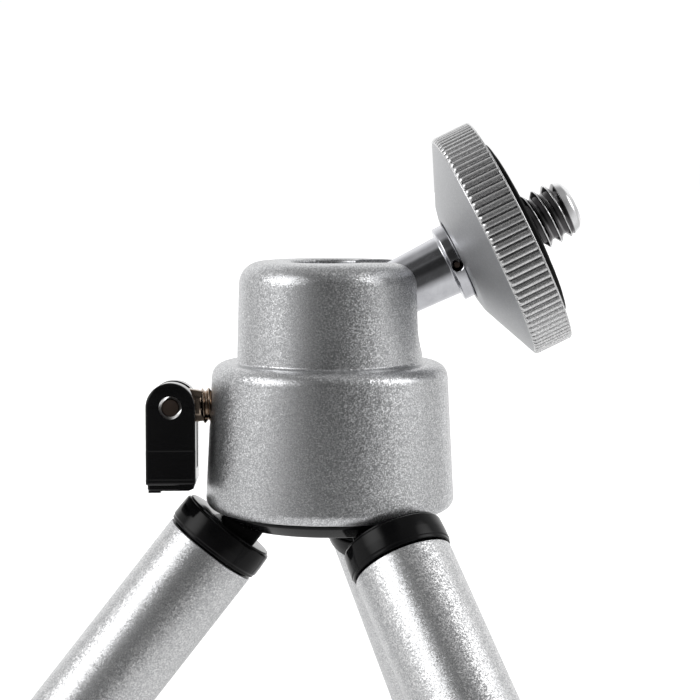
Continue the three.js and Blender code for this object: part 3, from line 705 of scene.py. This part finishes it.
def camera_screw():
    core = SCREW_RADIUS - SCREW_DEPTH
    shank = revolve(rounded((
        (0, SCREW_START),
        (SCREW_SHANK, SCREW_START, 0.2),
        (SCREW_SHANK, SET_PIN_AT - 0.8),
        (SCREW_GROOVE, SET_PIN_AT - 0.8),
        (SCREW_GROOVE, SET_PIN_AT + 0.8),
        (SCREW_SHANK, SET_PIN_AT + 0.8),
        (SCREW_SHANK, FLANGE_START),
        (SCREW_FLANGE, FLANGE_START, 0.15),
        (SCREW_FLANGE, FLANGE_END, 0.15),
        (core, FLANGE_END),
        (core, FLANGE_END + 1),
        (0, FLANGE_END + 1),
    ), 4), 64)
    thread = threaded(SCREW_RADIUS, SCREW_PITCH, SCREW_DEPTH, FLANGE_END + 0.5, SCREW_THREAD_END)
    point = revolve(rounded((
        (0, SCREW_THREAD_END - 1),
        (core, SCREW_THREAD_END - 1),
        (core, SCREW_THREAD_END - 0.6),
        (SCREW_POINT_RADIUS, SCREW_THREAD_END - 0.15, 0.1),
        (SCREW_POINT_RADIUS - 0.3, SCREW_TIP - 0.45, 0.6),
        (SCREW_TIP_RADIUS, SCREW_TIP, 0.3),
        (0, SCREW_TIP),
    )), 64)
    piece = solid("camera_screw_fine", [shank, thread, point], STEM)
    finish_piece(piece, "platform", dark_chrome, "dark_chrome", ["camera_screw"], 50)
    piece.data.materials.append(crest_painted_highlight)
    # the crests above the rim and the whole tip take the lighter chrome: a painted highlight
    to_stem = STEM.inverted()
    for face in piece.data.polygons:
        place = to_stem @ face.center / MM
        across = from_thread_root(place.z, math.atan2(place.y, place.x), SCREW_PITCH)
        on_crest = across > HIGHLIGHT_FROM and math.hypot(place.x, place.y) > SCREW_RADIUS - HIGHLIGHT_DEPTH
        if place.z > SCREW_THREAD_END or (on_crest and place.z > RIM_END):
            face.material_index = 1


# ------------------------------------------------------------------ clamp screw and lever


def clamp_screw():
    core = CLAMP_RADIUS - CLAMP_DEPTH
    tip = revolve([
        (0, CLAMP_TIP),
        (0.8, CLAMP_TIP),
        (core, CLAMP_CONE_END),
        (core, CLAMP_CONE_END + 1),
        (0, CLAMP_CONE_END + 1),
    ], 40)
    thread = threaded(CLAMP_RADIUS, CLAMP_PITCH, CLAMP_DEPTH, CLAMP_CONE_END, CLAMP_THREAD_END, 48, 16)
    lay = turn(-QUARTER_TURN, "Y")
    across = mm_shift(-PIN_AT, 0, 0) @ turn(QUARTER_TURN, "X")
    eye_outline = arc(-PIN_AT, 0, EYE_RADIUS, QUARTER_TURN, 1.5 * HALF_TURN, 32)
    eye_outline += [(0.5 - CLAMP_THREAD_END, -core), (0.5 - CLAMP_THREAD_END, core)]
    eye = plate(eye_outline, EYE_THICKNESS / 2, 0.15)
    piece = solid("clamp_screw_fine", [eye], CLAMP)
    hole = moved(bar(LEVER_PIN_HOLE, -EYE_THICKNESS, EYE_THICKNESS, 40), across)
    boolean(piece, [solid("cutter", [hole], CLAMP)], "DIFFERENCE")
    boolean(piece, [solid("rod", [moved(shape, lay)], CLAMP) for shape in (thread, tip)], "UNION")
    finish_piece(piece, "clamp", tinted_steel, "brass_tinted_steel", ["clamp_screw"], 50)


def lever_recess(height):
    """How far a broad face lies back at a height from the pin: a parting line, and sloped fields."""
    if abs(height) < 0.04:
        return 0.03
    for high, low in LEVER_FIELDS:
        if low < height < high:
            return LEVER_FIELD_DEPTH * (high - height) / (high - low)
    return 0


def lever_sections():
    """Height, half width, inner half width and half depth down the lever, from its round head to its lip."""
    width, depth, edge = LEVER_HALF_WIDTH, LEVER_HALF_DEPTH, LEVER_EDGE
    rows = []
    for step in range(1, 25):
        angle = QUARTER_TURN * (1 - step / 24.5)
        height = width * math.sin(angle)
        past = max(0, height - (width - edge)) / edge
        rows.append((height, width * math.cos(angle), depth - edge * (1 - math.sqrt(1 - past**2))))
    heights = [0.06, 0.035, -0.035, -0.06]
    for high, low in LEVER_FIELDS:
        heights += [high, low + LEVER_FIELD_DEPTH, low]
    rows += [(height, width, depth - lever_recess(height)) for height in heights]
    for step in range(7):
        angle = QUARTER_TURN * step / 6
        lost = edge * (1 - math.cos(angle))
        rows.append((-LEVER_FACE_LENGTH + edge * (1 - math.sin(angle)), width - 0.3 * lost, depth - lost))
    lip_depth = LEVER_LIP_HALF_DEPTH
    rows += [(-LEVER_FACE_LENGTH, width - 0.1, lip_depth)]
    rows += [(-LEVER_LIP_LENGTH + 0.2, width - 0.1, lip_depth)]
    rows += [(-LEVER_LIP_LENGTH, width - 0.25, lip_depth - 0.15)]
    round_start = -LEVER_LIP_LENGTH + LEVER_BOTTOM_ROUND
    for height, half_width, half_depth in rows:
        past = max(0, round_start - height) / LEVER_BOTTOM_ROUND
        lost = 0.6 * LEVER_BOTTOM_ROUND * (1 - math.sqrt(max(0, 1 - past**2)))
        yield height, half_width, half_width - lost, half_depth


def clamp_lever():
    sections = []
    for height, outer, inner, depth in lever_sections():
        edge = min(LEVER_EDGE, outer * 0.8)
        corners = ((-outer, -depth, edge), (inner, -depth, edge), (inner, depth, edge), (-outer, depth, edge))
        sections.append([(x - PIN_AT, y, height) for x, y in rounded(corners, 4)])
    piece = solid("clamp_lever_fine", [loft(sections)], CLAMP)
    half = FORK_HALF_WIDTH
    eye_room = EYE_RADIUS + GAP
    inner = LEVER_HALF_WIDTH - PIN_AT
    through = block((-PIN_AT - 4, -half, -eye_room), (-PIN_AT + 4, half, LEVER_HALF_WIDTH + 1))
    pocket = block((-PIN_AT - LEVER_HALF_WIDTH + FORK_WALL + GAP, -half, -FORK_DEPTH), (inner + GAP, half, 0))
    hole = moved(bar(LEVER_PIN_HOLE, -6, 6, 40), mm_shift(-PIN_AT, 0, 0) @ turn(QUARTER_TURN, "X"))
    boolean(piece, [solid("cutter", [shape], CLAMP) for shape in (through, pocket, hole)], "DIFFERENCE")
    toe_start = -PIN_AT - LEVER_HALF_WIDTH + 0.15
    toe_end = toe_start + LEVER_TOE_WIDTH
    toe_top = -LEVER_LIP_LENGTH + 0.5
    toe = [(toe_start, toe_top), (toe_start, -LEVER_LENGTH), (toe_end, -LEVER_LENGTH), (toe_end, toe_top)]
    boolean(piece, [solid("toe", [plate(toe, LEVER_LIP_HALF_DEPTH - 0.6, 0.1)], CLAMP)], "UNION")
    finish_piece(piece, "lever", lever_black, "black_plastic", ["clamp_lever"], 20)


def lever_pin():
    half = LEVER_PIN_LENGTH / 2
    place = mm_shift(-PIN_AT, 0, 0) @ turn(QUARTER_TURN, "X")
    pin = moved(bar(LEVER_PIN_RADIUS, -half, half, 40, 0.12), place)
    piece = solid("lever_pin_fine", [pin], CLAMP)
    finish_piece(piece, "lever", dark_steel, "dark_steel", ["lever_pin"])


# ------------------------------------------------------------------ legs


def necked_tube(start, end, radius, bore, neck):
    """A tube down -Z whose far end is rolled in to a narrower mouth."""
    return revolve(rounded((
        (neck, -end, 0.1),
        (radius, -end, 0.45),
        (radius, -start, 0.12),
        (bore, -start),
        (bore, -end + 1.0),
        (neck, -end + 0.6),
    )), 96)


def knuckle(place):
    tongue = [(TONGUE_FOOT_INNER, -KNUCKLE_TOP - 0.5), (TONGUE_FOOT_OUTER, -KNUCKLE_TOP - 0.5)]
    tongue.append((TONGUE_FOOT_OUTER, -KNUCKLE_PAD))
    tongue += arc(0, 0, TONGUE_RADIUS, math.radians(-22), HALF_TURN, 32)
    cap = revolve(rounded((
        (0, -SPIGOT_END),
        (SPIGOT_RADIUS, -SPIGOT_END, 0.3),
        (SPIGOT_RADIUS, -KNUCKLE_BOTTOM, 0.05),
        (KNUCKLE_RADIUS - 0.1, -KNUCKLE_BOTTOM, 0.12),
        (KNUCKLE_RADIUS - 0.1, -KNUCKLE_BOTTOM + 0.32, 0.03),
        (KNUCKLE_RADIUS, -KNUCKLE_BOTTOM + 0.42, 0.15),
        (KNUCKLE_RADIUS, (-KNUCKLE_BOTTOM - KNUCKLE_TOP) / 2, 3.0),
        (KNUCKLE_RADIUS - 0.08, -KNUCKLE_TOP, 0.3),
        (KNUCKLE_PAD_RADIUS, -KNUCKLE_TOP, 0.04),
        (KNUCKLE_PAD_RADIUS, -KNUCKLE_PAD, 0.08),
        (0, -KNUCKLE_PAD),
    )), 96)
    piece = solid("knuckle", [cap], place)
    blade = solid("blade", [plate(tongue, TONGUE_WIDTH / 2, 0.25)], place)
    boolean(piece, [blade], "UNION")
    hole = solid("hole", [moved(bar(HINGE_PIN_HOLE, -4, 4, 32), turn(QUARTER_TURN, "X"))], place)
    boolean(piece, [hole], "DIFFERENCE")
    return piece


def foot():
    radius = FOOT_RADIUS - FOOT_LOSS
    corners = [(0, FOOT_RADIUS - FOOT_TIP - radius)]
    corners += arc(0, FOOT_RADIUS - FOOT_TIP, radius, -QUARTER_TURN, 0, 20)[1:]
    corners += [
        (FOOT_TOP, -FOOT_START, 0.5),
        (FOOT_SOCKET, -FOOT_START, 0.1),
        (FOOT_SOCKET, -FOOT_SOCKET_END),
        (0, -FOOT_SOCKET_END),
    ]
    return revolve(rounded(corners), 96)


def leg(index, name):
    place = leg_frame(index)
    node = f"{name}_leg"
    cap = knuckle(place)
    cap.name = f"{node}_knuckle_fine"
    finish_piece(cap, node, gloss_black, "black_plastic", [f"{node}_knuckle"])
    half = HINGE_PIN_LENGTH / 2
    pin = moved(bar(HINGE_PIN_RADIUS, -half, half, 40, 0.15), turn(QUARTER_TURN, "X"))
    rows = (
        ("hinge_pin", pin, "head", bright_steel, "bright_steel"),
        ("outer_tube", necked_tube(OUTER_START, OUTER_END, OUTER_RADIUS, OUTER_BORE, OUTER_NECK),
         node, tube_paint, "silver_paint_tube"),
        ("mid_tube", necked_tube(MID_START, MID_END, MID_RADIUS, MID_BORE, MID_NECK),
         f"{node}_mid", polished_tube, "polished_tube"),
        ("inner_tube", revolve(rounded((
            (INNER_BORE, -INNER_END), (INNER_RADIUS, -INNER_END, 0.2),
            (INNER_RADIUS, -INNER_START, 0.2), (INNER_BORE, -INNER_START),
        )), 72), f"{node}_inner", polished_tube, "polished_tube"),
        ("foot", foot(), f"{node}_inner", pad_rubber, "black_rubber"),
    )
    for part, shape, body, material, slot in rows:
        piece = solid(f"{node}_{part}_fine", [shape], place)
        finish_piece(piece, body, material, slot, [f"{node}_{part}"])


head_housing()
leg_hub()
for number in range(len(LEG_NAMES)):
    hub_screw(number)
ball_stem()
stem_set_pin()
thrust_washer()
platform_disk()
platform_pad()
camera_screw()
clamp_screw()
clamp_lever()
lever_pin()
for number, leg_name in enumerate(LEG_NAMES):
    leg(number, leg_name)

# carried-over CAD nodes inside the head and the legs
for node_name, node_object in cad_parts.items():
    if not node_object.hide_render:
        node_object.data.materials.clear()
        node_object.data.materials.append(nylon)

# ------------------------------------------------------------------ floor, light and camera


FLOOR_HALF_SIZE, CARD_HEIGHT = 6.0, 0.0005
# how bright the surroundings are, from behind the camera at 0 degrees round to the backdrop at 180
SURROUND = (
    (0, 0.08),
    (20, 0.12),
    (40, 0.3),
    (54, 0.5),
    (69, 0.76),
    (85, 0.8),
    (104, 0.66),
    (128, 0.62),
    (142, 1.02),
)
# above and below: the brightness, and the heights, in a direction of length 1, where it starts and is full
OVERHEAD, OVERHEAD_START, OVERHEAD_FULL = 0.36, 0.6, 0.92
UNDERNEATH, UNDERNEATH_START, UNDERNEATH_FULL = 0.75, -0.28, -0.65
# soft glows high on the left and right, then dark patches above the camera that lie over them: direction,
# brightness, and the angles where each ends and is full
PATCHES = (
    ((-0.75, -0.3, 0.5), 3.4, 25, 4),
    ((0.78, -0.15, 0.5), 3.4, 25, 4),
    ((-0.12, -0.88, 0.46), 0.03, 24, 12),
    ((-0.32, -0.42, 0.85), 0.07, 24, 12),
)


def stage_plane(name, height, material):
    half = FLOOR_HALF_SIZE
    mesh = bpy.data.meshes.new(name)
    corners = [(-half, -half, height), (half, -half, height), (half, half, height), (-half, half, height)]
    mesh.from_pydata(corners, [], [(0, 1, 2, 3)])
    mesh.materials.append(material)
    plane = bpy.data.objects.new(name, mesh)
    bpy.context.scene.collection.objects.link(plane)
    return plane


def surround_colour(nodes, direction):
    """The surroundings' brightness along a direction of length 1: by compass angle, and dimmer overhead."""
    level = nodes.add("ShaderNodeVectorMath", {"operation": "MULTIPLY"})
    nodes.put(level, 0, direction)
    level.inputs[1].default_value = (1, 1, 0)
    compass = nodes.add("ShaderNodeVectorMath", {"operation": "NORMALIZE"})
    nodes.put(compass, 0, level.outputs[0])
    ramp = nodes.add("ShaderNodeValToRGB")
    elements = ramp.color_ramp.elements
    while len(elements) < len(SURROUND):
        elements.new(0.5)
    for element, (angle, brightness) in zip(elements, SURROUND):
        element.position = (1 - math.cos(math.radians(angle))) / 2
        element.color = (brightness, brightness, brightness, 1)
    toward_backdrop = nodes.add("ShaderNodeSeparateXYZ", Vector=compass.outputs[0]).outputs["Y"]
    nodes.put(ramp, "Fac", nodes.spread(toward_backdrop, 0, 1, -1, 1))
    height = nodes.add("ShaderNodeSeparateXYZ", Vector=direction).outputs["Z"]
    above = nodes.spread(height, 0, 1, OVERHEAD_START, OVERHEAD_FULL)
    sides = nodes.blend(above, ramp.outputs["Color"], (OVERHEAD, OVERHEAD, OVERHEAD))
    below = nodes.spread(height, 1, 0, UNDERNEATH_FULL, UNDERNEATH_START)
    return nodes.blend(below, sides, (UNDERNEATH, UNDERNEATH, UNDERNEATH))


def studio(centre):
    material, nodes, shader = new_material("white_floor")
    shader.inputs["Base Color"].default_value = (0.9, 0.9, 0.9, 1)
    shader.inputs["Roughness"].default_value = 0.6
    shader.inputs["Emission Color"].default_value = (1, 1, 1, 1)
    shader.inputs["Emission Strength"].default_value = 0.5
    stage_plane("floor", 0, material)

    # a card just above the floor that only reflections see: the floor is dark toward the camera's side
    material, nodes, shader = new_material("reflection_card")
    nodes.tree.nodes.remove(shader)
    place = nodes.object_place()
    arm = nodes.add("ShaderNodeVectorMath", {"operation": "SUBTRACT"})
    nodes.put(arm, 0, place)
    arm.inputs[1].default_value = centre
    unit = nodes.add("ShaderNodeVectorMath", {"operation": "NORMALIZE"})
    nodes.put(unit, 0, arm.outputs[0])
    glow = nodes.add("ShaderNodeEmission", Color=surround_colour(nodes, unit.outputs[0]))
    nodes.put(nodes.tree.nodes["Material Output"], "Surface", glow.outputs[0])
    card = stage_plane("reflection_card", CARD_HEIGHT, material)
    card.visible_camera = False
    card.visible_diffuse = False
    card.visible_shadow = False

    world = bpy.data.worlds.new("studio")
    bpy.context.scene.world = world
    nodes = Nodes(world)
    direction = nodes.add("ShaderNodeTexCoord").outputs["Generated"]
    colour = surround_colour(nodes, direction)
    for toward, brightness, end, full in PATCHES:
        match = nodes.add("ShaderNodeVectorMath", {"operation": "DOT_PRODUCT"})
        nodes.put(match, 0, direction)
        match.inputs[1].default_value = Vector(toward).normalized()
        end_cosine, full_cosine = math.cos(math.radians(end)), math.cos(math.radians(full))
        amount = nodes.spread(match.outputs["Value"], 0, 1, end_cosine, full_cosine)
        colour = nodes.blend(amount, colour, (brightness, brightness, brightness))
    nodes.put(nodes.tree.nodes["Background"], "Color", colour)


def soft_light(name, place, target, size, power):
    light = bpy.data.lights.new(name, "AREA")
    light.shape = "RECTANGLE"
    light.size, light.size_y = size
    light.energy = power
    made = bpy.data.objects.new(name, light)
    bpy.context.scene.collection.objects.link(made)
    made.location = place
    made.rotation_euler = (Vector(target) - Vector(place)).to_track_quat("-Z", "Y").to_euler()
    made.visible_glossy = False


head_middle = HEAD.translation - Vector((0, 0, 0.013))
studio(head_middle)
soft_light("left_box", head_middle + Vector((-0.7, -0.3, 0.55)), head_middle, (0.8, 0.6), 2.5)
soft_light("right_box", head_middle + Vector((0.7, -0.25, 0.55)), head_middle, (0.7, 0.6), 2)

camera_data = bpy.data.cameras.new("camera")
camera_data.sensor_width = 36
camera_data.lens = 104.86
camera_data.clip_start = 0.01
camera_data.clip_end = 20
camera = bpy.data.objects.new("camera", camera_data)
bpy.context.scene.collection.objects.link(camera)
camera.location = HEAD.translation + Vector((-5.108, -216.74, 11.07)) * MM
camera.rotation_euler = (math.radians(84.58), 0, math.radians(-1.92))
bpy.context.scene.camera = camera
bpy.context.scene.view_settings.view_transform = "Standard"
